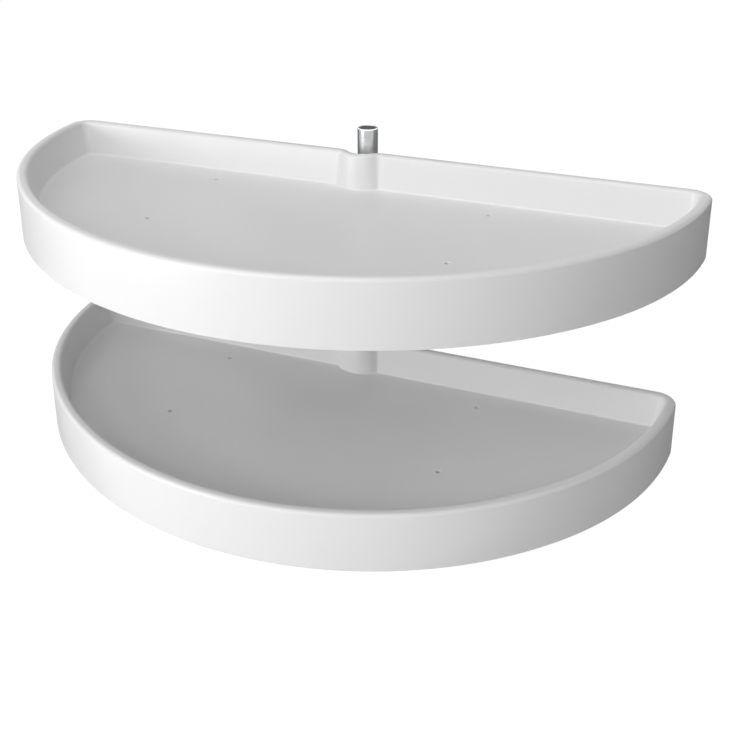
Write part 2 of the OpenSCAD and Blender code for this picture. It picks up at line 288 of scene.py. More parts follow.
def tint(colour: Sequence[float], factors: Sequence[float]) -> tuple:
    """A colour with each channel changed by itself.

    Args:
        colour: A linear colour.
        factors: What to multiply the channels by.

    Returns:
        The new colour.
    """
    return tuple(channel * factor for channel, factor in zip(colour, factors))


@dataclass(frozen=True)
class Finish:
    """What every finish has: a name, a colour, how rough the surface is, and its slot."""

    name: str
    colour: tuple
    roughness: float
    slot: str

    def material(self) -> bpy.types.Material:
        """The finish as a node material.

        Returns:
            The material, made on the first call.
        """
        found = bpy.data.materials.get(self.name)
        if found:
            return found
        made = bpy.data.materials.new(self.name)
        made.use_nodes = True
        tree = ShaderTree(made.node_tree)
        skin = tree.node("ShaderNodeBsdfPrincipled", {}, self.sockets(tree))
        tree.node("ShaderNodeOutputMaterial", {}, {"Surface": skin})
        return made

    def sockets(self, tree: ShaderTree) -> dict:
        """Values and links of the shader's sockets.

        Args:
            tree: The tree to add nodes to.

        Returns:
            Socket names and what goes into them.
        """
        raise NotImplementedError


@dataclass(frozen=True)
class MouldedPlastic(Finish):
    """Plastic from a polished mould: fine orange peel, and faint rubbing marks."""

    cloud_scale: float = 5.0
    cloud_shades: tuple = (0.975, 1.01)
    peel_scale: float = 95.0
    peel_share: float = 0.7
    peel_dulling: float = 0.05
    grain_scale: float = 1500.0
    grain_share: float = 0.3
    relief: float = 0.00006
    strength: float = 0.35
    rub_scale: float = 26.0
    rub_stretch: tuple = (1.0, 0.35, 1.0)
    rub_level: float = 0.62
    rub_edge: float = 0.10
    rub_dulling: float = 0.10
    refraction: float = 1.49

    def sockets(self, tree: ShaderTree) -> dict:
        """Values and links of the shader's sockets.

        Args:
            tree: The tree to add nodes to.

        Returns:
            Socket names and what goes into them.
        """
        where = tree.place()
        cloud = tree.noise(where, self.cloud_scale, detail=3.0)
        peel = tree.noise(where, self.peel_scale, detail=1.0)
        grain = tree.noise(where, self.grain_scale)
        rubs = tree.noise(where, self.rub_scale, 4.0, self.rub_stretch)
        rubbed = rubs.above(self.rub_level, self.rub_edge)
        darker, lighter = [shade(self.colour, factor) for factor in self.cloud_shades]
        height = peel * self.peel_share + grain * self.grain_share
        return {
            "Base Color": tree.mix(cloud, darker, lighter),
            "Roughness": self.roughness + peel * self.peel_dulling + rubbed * self.rub_dulling,
            "Normal": tree.bump(height, self.relief, self.strength),
            "IOR": self.refraction,
        }


@dataclass(frozen=True)
class ChromePlate(Finish):
    """Bright plate on a polished tube: long faint polishing marks and a trace of haze."""

    haze_scale: float = 22.0
    haze_shade: float = 0.96
    haze_dulling: float = 0.035
    mark_scale: float = 900.0
    mark_stretch: tuple = (1.0, 1.0, 0.03)
    relief: float = 0.000004
    strength: float = 0.3

    def sockets(self, tree: ShaderTree) -> dict:
        """Values and links of the shader's sockets.

        Args:
            tree: The tree to add nodes to.

        Returns:
            Socket names and what goes into them.
        """
        where = tree.place()
        haze = tree.noise(where, self.haze_scale, detail=3.0)
        marks = tree.noise(where, self.mark_scale, 2.0, self.mark_stretch)
        return {
            "Base Color": tree.mix(haze, shade(self.colour, self.haze_shade), self.colour),
            "Metallic": 1.0,
            "Roughness": self.roughness + haze * self.haze_dulling,
            "Normal": tree.bump(marks, self.relief, self.strength),
        }


@dataclass(frozen=True)
class ZincPlate(Finish):
    """Bright zinc on pressed or turned steel: clouded, with a dull bluish cast in places."""

    cloud_scale: float = 60.0
    cloud_level: float = 0.5
    cloud_edge: float = 0.25
    cloud_dulling: float = 0.14
    cast: tuple = (0.82, 0.86, 0.93)
    speck_scale: float = 700.0
    speck_dulling: float = 0.05
    relief: float = 0.00002
    strength: float = 0.25

    def sockets(self, tree: ShaderTree) -> dict:
        """Values and links of the shader's sockets.

        Args:
            tree: The tree to add nodes to.

        Returns:
            Socket names and what goes into them.
        """
        where = tree.place()
        cloud = tree.noise(where, self.cloud_scale, detail=4.0)
        speck = tree.noise(where, self.speck_scale)
        dull = tint(self.colour, self.cast)
        clear = cloud.above(self.cloud_level, self.cloud_edge)
        dulling = cloud * self.cloud_dulling
        return {
            "Base Color": tree.mix(clear, dull, self.colour),
            "Metallic": 1.0,
            "Roughness": self.roughness + dulling + speck * self.speck_dulling,
            "Normal": tree.bump(speck, self.relief, self.strength),
        }


@dataclass(frozen=True)
class Nylon(Finish):
    """Natural nylon, turned: slightly waxy, with faint rings left by the tool."""

    cloud_scale: float = 40.0
    cloud_shade: float = 0.94
    ring_scale: float = 1200.0
    ring_stretch: tuple = (0.05, 0.05, 1.0)
    ring_dulling: float = 0.08
    relief: float = 0.00002
    strength: float = 0.3
    refraction: float = 1.53

    def sockets(self, tree: ShaderTree) -> dict:
        """Values and links of the shader's sockets.

        Args:
            tree: The tree to add nodes to.

        Returns:
            Socket names and what goes into them.
        """
        where = tree.place()
        cloud = tree.noise(where, self.cloud_scale)
        rings = tree.noise(where, self.ring_scale, 1.0, self.ring_stretch)
        return {
            "Base Color": tree.mix(cloud, shade(self.colour, self.cloud_shade), self.colour),
            "Roughness": self.roughness + rings * self.ring_dulling,
            "Normal": tree.bump(rings, self.relief, self.strength),
            "IOR": self.refraction,
        }


@dataclass(frozen=True)
class OiledSteel(Finish):
    """Blackened spring steel with a film of oil: uneven sheen, brown where it has worn."""

    cloud_scale: float = 260.0
    cloud_dulling: float = 0.2
    wear: tuple = (2.2, 2.0, 1.8)
    wear_level: float = 0.66
    wear_edge: float = 0.12
    metal: float = 0.9
    relief: float = 0.00001
    strength: float = 0.3

    def sockets(self, tree: ShaderTree) -> dict:
        """Values and links of the shader's sockets.

        Args:
            tree: The tree to add nodes to.

        Returns:
            Socket names and what goes into them.
        """
        where = tree.place()
        cloud = tree.noise(where, self.cloud_scale, detail=4.0)
        rubbed = cloud.above(self.wear_level, self.wear_edge)
        return {
            "Base Color": tree.mix(rubbed, self.colour, tint(self.colour, self.wear)),
            "Metallic": self.metal,
            "Roughness": self.roughness + cloud * self.cloud_dulling,
            "Normal": tree.bump(cloud, self.relief, self.strength),
        }


TRAY_WHITE = MouldedPlastic("tray white moulding", (0.83, 0.83, 0.832), 0.30, "white_plastic")
CAP_BLACK = MouldedPlastic(
    "cap black moulding",
    (0.022, 0.022, 0.024),
    0.42,
    "black_plastic",
    peel_scale=600.0,
    relief=0.00003,
)
TUBE_CHROME = ChromePlate("tube chrome", (0.89, 0.90, 0.91), 0.23, "chrome")
PRESSED_ZINC = ZincPlate("zinc plated steel", (0.60, 0.61, 0.63), 0.26, "zinc_steel")
BUSH_NYLON = Nylon("bush nylon", (0.74, 0.72, 0.64), 0.38, "nylon")
SCREW_BLACK = OiledSteel("oiled spring steel", (0.035, 0.034, 0.034), 0.30, "spring_steel")


# ---- mesh tools ----


@dataclass(frozen=True)
class Corner:
    """One corner of a profile: its two coordinates and the radius that rounds it, in metres."""

    out: float
    up: float
    radius: float = 0.0


def rectangle(inner: float, outer: float, low: float, high: float, edge: float = 0.0) -> list:
    """Corners of a rectangular profile.

    Args:
        inner: Its inner side.
        outer: Its outer side.
        low: Its lower side.
        high: Its upper side.
        edge: The radius that rounds its corners.

    Returns:
        The four corners in order.
    """
    places = ((inner, low), (outer, low), (outer, high), (inner, high))
    return [Corner(out, up, edge) for out, up in places]


class Shape:
    """A mesh under construction."""

    def __init__(self, mesh: Optional[bpy.types.Mesh] = None) -> None:
        """Start empty, or from a mesh.

        Args:
            mesh: The mesh to copy.
        """
        self.bm = bmesh.new()
        if mesh:
            self.bm.from_mesh(mesh)

    def everything(self) -> list:
        """All vertices, edges and faces."""
        return self.bm.verts[:] + self.bm.edges[:] + self.bm.faces[:]

    def weld(self, distance: float = WELD) -> None:
        """Merge vertices that lie closer together than a distance."""
        bmesh.ops.remove_doubles(self.bm, verts=self.bm.verts, dist=distance)

    def profile(
        self,
        corners: Sequence[Corner],
        to_space: Callable[[float, float], Vector],
        closed: bool,
        segments: int = 6,
    ) -> list:
        """Draw a profile of straight edges and round its corners.

        Args:
            corners: The corners in order.
            to_space: Turns a corner's two coordinates into a point.
            closed: Whether the last corner joins the first.
            segments: Edges in each rounding.

        Returns:
            The vertices and edges of the profile.
        """
        old_verts, old_edges = set(self.bm.verts), set(self.bm.edges)
        verts = [self.bm.verts.new(to_space(c.out, c.up)) for c in corners]
        for first, second in zip(verts, verts[1:] + verts[:1] if closed else verts[1:]):
            self.bm.edges.new((first, second))
        for vert, corner in zip(verts, corners):
            if corner.radius:
                sides = [edge.other_vert(vert).co - vert.co for edge in vert.link_edges]
                turn = math.pi - sides[0].angle(sides[1])
                bmesh.ops.bevel(
                    self.bm,
                    geom=[vert],
                    offset=corner.radius * math.tan(turn / 2),
                    offset_type="OFFSET",
                    segments=segments,
                    profile=0.5,
                    affect="VERTICES",
                    material=-1,
                )
        new_verts = [vert for vert in self.bm.verts if vert not in old_verts]
        return new_verts + [edge for edge in self.bm.edges if edge not in old_edges]

    def turn(self, geometry: list, centre: Vector, angle: float, steps: int) -> list:
        """Sweep geometry about an upright axis.

        Args:
            geometry: The vertices and edges to sweep.
            centre: A point on the axis.
            angle: Angle of the sweep in radians, seen from above.
            steps: Number of steps.

        Returns:
            The vertices and edges at the end of the sweep.
        """
        full = math.isclose(abs(angle), math.tau)
        return bmesh.ops.spin(
            self.bm,
            geom=geometry,
            cent=centre,
            axis=(0, 0, 1),
            angle=angle,
            steps=steps,
            use_merge=full,
            use_normal_flip=False,
            use_duplicate=False,
        )["geom_last"]

    def lathe(
        self,
        corners: Sequence[Corner],
        centre: Vector,
        steps: int,
        closed: bool = True,
        segments: int = 4,
    ) -> None:
        """Turn a profile of radius and height once round an upright axis.

        Args:
            corners: Radius and height of each corner.
            centre: A point on the axis; heights count from it.
            steps: Facets of a full turn.
            closed: Whether the profile closes on itself. An open one ends on the axis or an edge.
            segments: Edges in each rounding.
        """

        def beside(out: float, up: float) -> Vector:
            """The point at a distance and a height from the centre."""
            return centre + Vector((out, 0, up))

        self.turn(self.profile(corners, beside, closed, segments), centre, math.tau, steps)

    def slide(self, geometry: list, by: Vector) -> list:
        """Sweep geometry along a straight line.

        Args:
            geometry: The vertices and edges to sweep.
            by: The length and direction.

        Returns:
            The vertices and edges at the end of the sweep.
        """
        edges = [part for part in geometry if isinstance(part, bmesh.types.BMEdge)]
        made = bmesh.ops.extrude_edge_only(self.bm, edges=edges)["geom"]
        end = [part for part in made if not isinstance(part, bmesh.types.BMFace)]
        verts = [part for part in end if isinstance(part, bmesh.types.BMVert)]
        bmesh.ops.translate(self.bm, verts=verts, vec=by)
        return end

    def box(self, low: Sequence[float], high: Sequence[float], turned: float = 0.0) -> None:
        """Add a block.

        Args:
            low: Its lowest corner.
            high: Its highest corner.
            turned: Angle about the z axis through the origin, in radians.
        """
        middle = [(a + b) / 2 for a, b in zip(low, high)]
        size = [b - a for a, b in zip(low, high)]
        spin = Matrix.Rotation(turned, 4, "Z")
        matrix = spin @ Matrix.Translation(middle) @ Matrix.Diagonal((*size, 1.0))
        bmesh.ops.create_cube(self.bm, size=1.0, matrix=matrix)

    def fill(self, edges: list, normal: Sequence[float]) -> None:
        """Close a flat opening, round any holes in it.

        Args:
            edges: The opening's edges and those of its holes.
            normal: Which way the faces point.
        """
        bmesh.ops.triangle_fill(
            self.bm, use_beauty=True, use_dissolve=False, edges=edges, normal=normal
        )

    def open_edges(self, up: float) -> list:
        """Edges with a face on one side only, at a level.

        Args:
            up: The level.

        Returns:
            The edges.
        """
        near = 2 * MERGE
        rims = [edge for edge in self.bm.edges if edge.is_boundary]
        return [edge for edge in rims if all(abs(vert.co.z - up) < near for vert in edge.verts)]

    def tidy(self) -> "Shape":
        """Merge doubles and turn all faces outwards.

        Returns:
            The shape itself.
        """
        self.weld(MERGE)
        bmesh.ops.recalc_face_normals(self.bm, faces=self.bm.faces)
        return self

    def mesh(self, name: str) -> bpy.types.Mesh:
        """Finish the mesh, with smooth faces and sharp creases.

        Args:
            name: The mesh's name.

        Returns:
            The mesh. The shape can't be used after this.
        """
        for face in self.bm.faces:
            face.smooth = True
        made = bpy.data.meshes.new(name)
        self.bm.to_mesh(made)
        self.bm.free()
        made.set_sharp_from_angle(angle=SHARP)
        return made


class Operation(Enum):
    """What other meshes do to a mesh."""

    CUT = "DIFFERENCE"
    JOIN = "UNION"


def combine(
    mesh: bpy.types.Mesh, operation: Operation, tools: Sequence[bpy.types.Mesh]
) -> bpy.types.Mesh:
    """Cut shapes out of a mesh, or join them with it.

    Args:
        mesh: The mesh to work on; it is used up.
        operation: Whether the other meshes are cut out or joined.
        tools: The other meshes; they aren't used again.

    Returns:
        The resulting mesh.
    """
    name = mesh.name
    body = bpy.data.objects.new(name + "_work", mesh)
    bpy.context.scene.collection.objects.link(body)
    group = bpy.data.collections.new(name + "_tools")
    bpy.context.scene.collection.children.link(group)
    for tool in tools:
        group.objects.link(bpy.data.objects.new(name + "_tool", tool))
    step = body.modifiers.new("combine", "BOOLEAN")
    step.operation = operation.value
    step.operand_type = "COLLECTION"
    step.collection = group
    step.solver = "EXACT"
    worked = body.evaluated_get(bpy.context.evaluated_depsgraph_get())
    result = bpy.data.meshes.new_from_object(worked)
    for tool in list(group.objects):
        bpy.data.objects.remove(tool)
    bpy.data.collections.remove(group)
    bpy.data.objects.remove(body)
    bpy.data.meshes.remove(mesh)
    shape = Shape(result)
    bpy.data.meshes.remove(result)
    shape.weld()
    return shape.mesh(name)


@dataclass(frozen=True)
class Place:
    """Where a sub-assembly goes: the prefix of its names, its body and its height."""

    prefix: str
    body: str
    up: float


def put(
    mesh: bpy.types.Mesh,
    piece: str,
    body: str,
    finish: Finish,
    stands_for: Sequence[str] = (),
    up: float = 0.0,
) -> None:
    """Make a finished piece of a mesh.

    Args:
        mesh: The mesh; a copy of it is used, so that it can serve again.
        piece: The piece's name.
        body: The body it rides on.
        finish: Its finish.
        stands_for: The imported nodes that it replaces.
        up: How far to lift the mesh.
    """
    data = mesh.copy()
    data.name = piece
    data.transform(Matrix.Translation((0, 0, up)))
    made = bpy.data.objects.new(piece, data)
    bpy.context.scene.collection.objects.link(made)
    data.materials.clear()
    data.materials.append(finish.material())
    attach(made, body)
    if stands_for:
        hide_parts(*stands_for)
    log.info("%s: %d faces on %s", piece, len(data.polygons), body)


# ---- the trays ----


@dataclass
class Tray:
    """The moulded half-moon tray, its rim's top at z = 0. Sizes are in metres."""

    front_radius: float = 0.420
    side_radius: float = 0.365
    side_slope: tuple = (3, 4)
    height: float = 0.068
    floor_depth: float = 0.0415
    floor_thickness: float = 0.0035
    skin: float = 0.003
    rim_width: float = 0.0118
    rim_edge: float = 0.0046
    wall_spread: float = 0.0052
    flare: float = 0.0039
    foot_edge: float = 0.0007
    inside_edge: float = 0.0016
    underside_edge: float = 0.001
    foot_fillet: float = 0.0025
    lip: float = 0.0011
    corner_radius: float = 0.02399
    recess_forward: float = 0.01104
    recess_radius: float = 0.01888
    recess_fillet: float = 0.02114
    rear_setback: float = 0.0175
    centre_back: float = 0.015
    boss_x: float = 0.1755
    boss_rows: tuple = (0.070, 0.2213)
    boss_radius: float = 0.008
    boss_height: float = 0.0085
    boss_edge: float = 0.0005
    hole_radius: float = 0.00275
    sink: float = 0.0008
    rib_thickness: float = 0.0022
    rib_height: float = 0.008
    rib_bite: float = 0.0004
    rib_angle: int = 15
    ring_radii: tuple = (0.12, 0.21, 0.30)
    notch_width: float = 0.048
    notch_top: float = -0.053
    notch_spare: float = 0.01
    front_steps: int = 48
    side_steps: int = 30
    corner_steps: int = 18
    fillet_steps: int = 8
    recess_steps: int = 10
    boss_steps: int = 40
    ring_steps: int = 120

    def __post_init__(self) -> None:
        """Work out the plan's centres and angles."""
        self.foot = self.rim_width + self.wall_spread
        self.underside = self.floor_depth + self.floor_thickness
        lean = math.atan(self.wall_spread / self.floor_depth)
        self.fillet_end = self.foot + self.foot_fillet * (1 - math.sin(lean)) / math.cos(lean)
        self.front = Vector((0, self.centre_back, 0))
        self.side_angle = math.atan2(*self.side_slope)
        seam = Vector((math.cos(self.side_angle), -math.sin(self.side_angle), 0))
        self.side = self.front + (self.front_radius - self.side_radius) * seam
        corner_y = -self.rear_setback - self.corner_radius
        drop = self.side.y - corner_y
        run = math.sqrt((self.side_radius - self.corner_radius) ** 2 - drop**2)
        self.corner = Vector((self.side.x + run, corner_y, 0))
        self.corner_angle = math.atan2(drop, run)
        self.recess = Vector((0, -self.recess_forward, 0))
        fillet_y = -self.rear_setback - self.recess_fillet
        drop = self.recess.y - fillet_y
        run = math.sqrt((self.recess_radius + self.recess_fillet) ** 2 - drop**2)
        self.fillet = Vector((run, fillet_y, 0))
        self.fillet_angle = math.atan2(drop, run)

    def section(self) -> list:
        """Corners of the wall's section, from the floor over the rim and back under the floor.

        Returns:
            The corners: how far out from the rim's outer edge, and how far up from its top.
        """
        inner = -(self.fillet_end + self.lip)
        draft = self.skin * self.flare / self.height
        return [
            Corner(inner, -self.floor_depth),
            Corner(-self.foot, -self.floor_depth, self.foot_fillet),
            Corner(-self.rim_width, 0, self.rim_edge),
            Corner(0, 0, self.rim_edge),
            Corner(self.flare, -self.height, self.foot_edge),
            Corner(self.flare - self.skin, -self.height, self.foot_edge),
            Corner(draft - self.skin, -self.skin, self.inside_edge),
            Corner(self.skin - self.rim_width, -self.skin, self.inside_edge),
            Corner(self.skin - self.foot, -self.underside, self.underside_edge),
            Corner(inner, -self.underside),
        ]

    def bosses(self) -> list:
        """Centres of the four screw bosses.

        Returns:
            Points at the rim's level.
        """
        columns = (-self.boss_x, self.boss_x)
        return [Vector((column, -row, 0)) for column in columns for row in self.boss_rows]

    def shell(self) -> bpy.types.Mesh:
        """Wall, floor and bosses in one closed mesh.

        Returns:
            The mesh.
        """
        shape = Shape()
        start = self.centre_back - self.front_radius
        end = shape.profile(self.section(), lambda out, up: Vector((0, start - out, up)), False)
        end = shape.turn(end, self.front, QUARTER - self.side_angle, self.front_steps)
        end = shape.turn(end, self.side, self.side_angle - self.corner_angle, self.side_steps)
        end = shape.turn(end, self.corner, QUARTER + self.corner_angle, self.corner_steps)
        end = shape.slide(end, Vector((self.fillet.x - self.corner.x, 0, 0)))
        end = shape.turn(end, self.fillet, QUARTER - self.fillet_angle, self.fillet_steps)
        shape.turn(end, self.recess, self.fillet_angle - QUARTER, self.recess_steps)
        bmesh.ops.mirror(shape.bm, geom=shape.everything(), axis="X", merge_dist=MERGE)
        shape.tidy()
        boss_low = -self.underside - self.boss_height
        for centre in self.bosses():
            shape.lathe(
                [
                    Corner(self.hole_radius + self.sink, -self.floor_depth),
                    Corner(self.hole_radius, -self.floor_depth - self.sink),
                    Corner(self.hole_radius, boss_low),
                    Corner(self.boss_radius, boss_low, self.boss_edge),
                    Corner(self.boss_radius, -self.underside),
                ],
                centre,
                self.boss_steps,
                closed=False,
            )
        shape.fill(shape.open_edges(-self.floor_depth), (0, 0, 1))
        shape.fill(shape.open_edges(-self.underside), (0, 0, -1))
        shape.tidy()
        notch = Shape()
        half, front = self.notch_width / 2, self.recess.y - self.recess_radius - self.fillet_end
        notch.box((-half, front, -self.height - self.notch_spare), (half, 0, self.notch_top))
        return combine(shape.mesh("tray_shell"), Operation.CUT, [notch.mesh("notch")])

    def rib_ends(self, angle: float, inset: float) -> tuple:
        """Where a radial rib starts and stops, counted from the post's axis.

        Args:
            angle: Direction of the rib in radians; it points forwards.
            inset: How far inside the wall's outer edge the rib stops.

        Returns:
            The two distances: from the recess or the flat wall to the arc of the front or side.
        """
        ray = Vector((abs(math.cos(angle)), math.sin(angle), 0))

        def meets(centre: Vector, radius: float) -> float:
            """Distance along the rib to a circle that holds the axis."""
            along = centre.dot(ray)
            return along + math.sqrt(radius**2 - centre.length_squared + along**2)

        flat = -(self.rear_setback + inset) / ray.y
        start = max(meets(self.recess, self.recess_radius + inset), flat)
        stop = meets(self.front, self.front_radius - inset)
        seen = ray * stop - self.front
        if -seen.y * math.cos(self.side_angle) < seen.x * math.sin(self.side_angle):
            stop = meets(self.side, self.side_radius - inset)
        return start, stop

    def ribs(self) -> bpy.types.Mesh:
        """The ribs under the floor, joined into one closed mesh.

        Returns:
            The mesh.
        """
        half = self.rib_thickness / 2
        low, high = -self.underside - self.rib_height, -self.underside + self.rib_bite
        inset = self.foot - self.skin / 2
        meshes = []
        for degrees in range(180 + self.rib_angle, 360, self.rib_angle):
            angle = math.radians(degrees)
            start, stop = self.rib_ends(angle, inset)
            rib = Shape()
            rib.box((start, -half, low), (stop, half, high), angle)
            meshes.append(rib.mesh("rib"))
        for radius in self.ring_radii:
            ring = Shape()
            corners = rectangle(radius - half, radius + half, low, high)
            ring.lathe(corners, Vector(), self.ring_steps)
            bmesh.ops.bisect_plane(
                ring.bm,
                geom=ring.everything(),
                plane_co=(0, -self.rear_setback - inset, 0),
                plane_no=(0, 1, 0),
                clear_outer=True,
            )
            bmesh.ops.holes_fill(ring.bm, edges=ring.bm.edges[:], sides=0)
            meshes.append(ring.tidy().mesh("ring"))
        return combine(meshes[0], Operation.JOIN, meshes[1:])

    def build(self, places: Sequence[Place]) -> None:
        """Make the tray's pieces at each place.

        Args:
            places: Where the trays go.
        """
        shell, ribs = self.shell(), self.ribs()
        for place in places:
            tray = place.prefix + "tray"
            put(shell, tray + "_shell", place.body, TRAY_WHITE, [tray], place.up)
            put(ribs, tray + "_ribs", place.body, TRAY_WHITE, (), place.up)


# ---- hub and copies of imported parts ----


@dataclass
class Hub:
    """What holds one tray on the post. Levels count from the top of the tray's rim, in metres."""

    post_radius: float = 0.0125
    bush_bore: float = 0.01255
    bush_radius: float = 0.01475
    sleeve_bore: float = 0.01477
    sleeve_radius: float = 0.01727
    sleeve_low: float = -0.061
    sleeve_high: float = -0.017
    bush_flange: float = 0.002
    bush_length: float = 0.014
    washer_low: float = -0.0645
    washer_thickness: float = 0.0015
    washer_play: float = 0.0003
    washer_edge: float = 0.0002
    plate_low: float = -0.0575
    screw_radius: float = 0.00273
    screw_head: float = 0.005
    screw_head_height: float = 0.0018
    screw_top: float = -0.0465
    head_edge: float = 0.0005
    seat_edge: float = 0.0002
    socket_depth: float = 0.0025
    socket_sides: int = 6
    edge: float = 0.0004
    bore_edge: float = 0.0003
    facets: int = 96
    screw_facets: int = 40
    edge_segments: int = 3

    def tube(
        self, inner: float, outer: float, low: float, high: float, edge: float
    ) -> bpy.types.Mesh:
        """A length of tube with its edges broken.

        Args:
            inner: Inner radius.
            outer: Outer radius.
            low: Lower level.
            high: Upper level.
            edge: Radius of the broken edges.

        Returns:
            The mesh.
        """
        shape = Shape()
        corners = rectangle(inner, outer, low, high, edge)
        shape.lathe(corners, Vector(), self.facets, segments=self.edge_segments)
        return shape.tidy().mesh("tube")

    def bush(self, mouth: float, up: int) -> bpy.types.Mesh:
        """A flanged bush.

        Args:
            mouth: Level of the sleeve's mouth.
            up: 1 where the flange is on top, and -1 where it is below.

        Returns:
            The mesh.
        """
        face, tail = mouth + up * self.bush_flange, mouth - up * self.bush_length
        shape = Shape()
        shape.lathe(
            [
                Corner(self.bush_bore, face, self.edge),
                Corner(self.sleeve_radius, face, self.edge),
                Corner(self.sleeve_radius, mouth),
                Corner(self.bush_radius, mouth),
                Corner(self.bush_radius, tail, self.edge),
                Corner(self.bush_bore, tail, self.bore_edge),
            ],
            Vector(),
            self.facets,
            segments=self.edge_segments,
        )
        return shape.tidy().mesh("bush")

    def screws(self, bosses: Sequence[Vector]) -> bpy.types.Mesh:
        """The four screws that hold the tray on its carrier, each with a hexagon socket.

        Args:
            bosses: Centres of the tray's bosses.

        Returns:
            The mesh.
        """
        low = self.plate_low - self.screw_head_height
        shape = Shape()
        for boss in bosses:
            shape.lathe(
                [
                    Corner(0, low),
                    Corner(self.screw_head, low, self.head_edge),
                    Corner(self.screw_head, self.plate_low, self.seat_edge),
                    Corner(self.screw_radius, self.plate_low),
                    Corner(self.screw_radius, self.screw_top, self.edge),
                    Corner(0, self.screw_top),
                ],
                boss,
                self.screw_facets,
                closed=False,
                segments=self.edge_segments,
            )
        sockets = Shape()
        for boss in bosses:
            bmesh.ops.create_cone(
                sockets.bm,
                cap_ends=True,
                segments=self.socket_sides,
                radius1=self.screw_head / 2,
                radius2=self.screw_head / 2,
                depth=self.socket_depth,
                matrix=Matrix.Translation(boss + Vector((0, 0, low))),
            )
        return combine(shape.tidy().mesh("screws"), Operation.CUT, [sockets.mesh("sockets")])

    def build(self, places: Sequence[Place], bosses: Sequence[Vector]) -> None:
        """Make the hub's pieces at each place.

        Args:
            places: Where the trays go.
            bosses: Centres of the tray's bosses.
        """
        radius, thickness = self.sleeve_radius, self.washer_thickness
        sleeve = self.tube(self.sleeve_bore, radius, self.sleeve_low, self.sleeve_high, self.edge)
        top, bottom = self.bush(self.sleeve_high, 1), self.bush(self.sleeve_low, -1)
        bore, low = self.post_radius + self.washer_play, self.washer_low
        washer = self.tube(bore, radius, low, low + thickness, self.washer_edge)
        screws = self.screws(bosses)
        for place in places:
            for mesh, piece, node, body, finish in (
                (sleeve, "sleeve", "hub_sleeve", place.body, PRESSED_ZINC),
                (top, "top_bush", "hub_top_bush", place.body, BUSH_NYLON),
                (bottom, "bottom_bush", "hub_bottom_bush", place.body, BUSH_NYLON),
                (screws, "carrier_screws", "tray_screws", place.body, PRESSED_ZINC),
                (washer, "washer", "thrust_washer", FIXED, BUSH_NYLON),
            ):
                put(mesh, place.prefix + piece, body, finish, [place.prefix + node], place.up)


def copy_packed(node: str, piece: str, body: str, finish: Finish) -> None:
    """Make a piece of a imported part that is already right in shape, merged and smoothed.

    Args:
        node: The part's node.
        piece: The piece's name.
        body: The body it rides on.
        finish: Its finish.
    """
    shape = Shape(frame["nodes"][node].data)
    shape.weld()
    bmesh.ops.dissolve_limit(
        shape.bm,
        angle_limit=FLAT,
        verts=shape.bm.verts,
        edges=shape.bm.edges,
        use_dissolve_boundaries=False,
    )
    put(shape.mesh(piece + "_copy"), piece, body, finish, [node])


# ---- the post ----


@dataclass
class Post:
    """The upright tube and the cap in its open top, in metres above the cabinet floor."""

    radius: float = 0.0125
    bore: float = 0.0105
    low: float = 0.004
    high: float = 0.419
    edge: float = 0.0012
    groove_depth: float = 0.0006
    grooves: tuple = (0.12828, 0.38078)
    groove_width: float = 0.00124
    cap_thickness: float = 0.0015
    cap_depth: float = 0.012
    cap_recess: float = 0.0004
    cap_clearance: float = 0.00002
    cap_inner_edge: float = 0.001
    outer_edge: float = 0.0004
    bore_edge: float = 0.0003
    facets: int = 128
    edge_segments: int = 5

    def build(self) -> None:
        """Make the tube and its cap."""
        corners = [
            Corner(self.bore, self.low, self.bore_edge),
            Corner(self.radius, self.low, self.outer_edge),
        ]
        for low in self.grooves:
            inner, high = self.radius - self.groove_depth, low + self.groove_width
            corners += rectangle(self.radius, inner, low, high)
        corners += [
            Corner(self.radius, self.high, self.edge),
            Corner(self.bore, self.high, self.bore_edge),
        ]
        tube = Shape()
        tube.lathe(corners, Vector(), self.facets, segments=self.edge_segments)
        put(tube.tidy().mesh("tube"), "post_tube", FIXED, TUBE_CHROME, ["post"])
        top, plug = self.high - self.cap_recess, self.bore - self.cap_clearance
        mouth, under = top - self.cap_depth, top - self.cap_thickness
        hollow = plug - self.cap_thickness
        cap = Shape()
        cap.lathe(
            [
                Corner(0, top),
                Corner(plug, top, self.outer_edge),
                Corner(plug, mouth, self.bore_edge),
                Corner(hollow, mouth, self.bore_edge),
                Corner(hollow, under, self.cap_inner_edge),
                Corner(0, under),
            ],
            Vector(),
            self.facets,
            closed=False,
        )
        put(cap.tidy().mesh("cap"), "post_end_cap", FIXED, CAP_BLACK, ["post_cap"])


# ---- studio ----


class Ray(Enum):
    """Kinds of light path that a stage material tells apart."""

    CAMERA = "Is Camera Ray"
    GLOSSY = "Is Glossy Ray"
    TRANSMISSION = "Is Transmission Ray"


def seen_directly(tree: ShaderTree) -> Field:
    """Mask of the rays that see the backdrop as such: from the camera, or by way of metal or glass.

    Args:
        tree: The tree to add nodes to.

    Returns:
        1 for those rays and 0 for the rest.
    """
    found = [tree.node("ShaderNodeLightPath", output=ray.value) for ray in Ray]
    return tree.node("ShaderNodeClamp", {}, {"Value": found[0] + found[1] + found[2]})


def dress_stage(
    mesh: bpy.types.Mesh,
    name: str,
    material_name: str,
    surface: Callable[[ShaderTree], Field],
) -> None:
    """Add an object that belongs to the stage.

    Args:
        mesh: Its mesh.
        name: Its name.
        material_name: The name of its material.
        surface: Makes the nodes of its surface.
    """
    made = bpy.data.objects.new(name, mesh)
    bpy.context.scene.collection.objects.link(made)
    material = bpy.data.materials.new(material_name)
    material.use_nodes = True
    tree = ShaderTree(material.node_tree)
    tree.node("ShaderNodeOutputMaterial", {}, {"Surface": surface(tree)})
    made.data.materials.append(material)


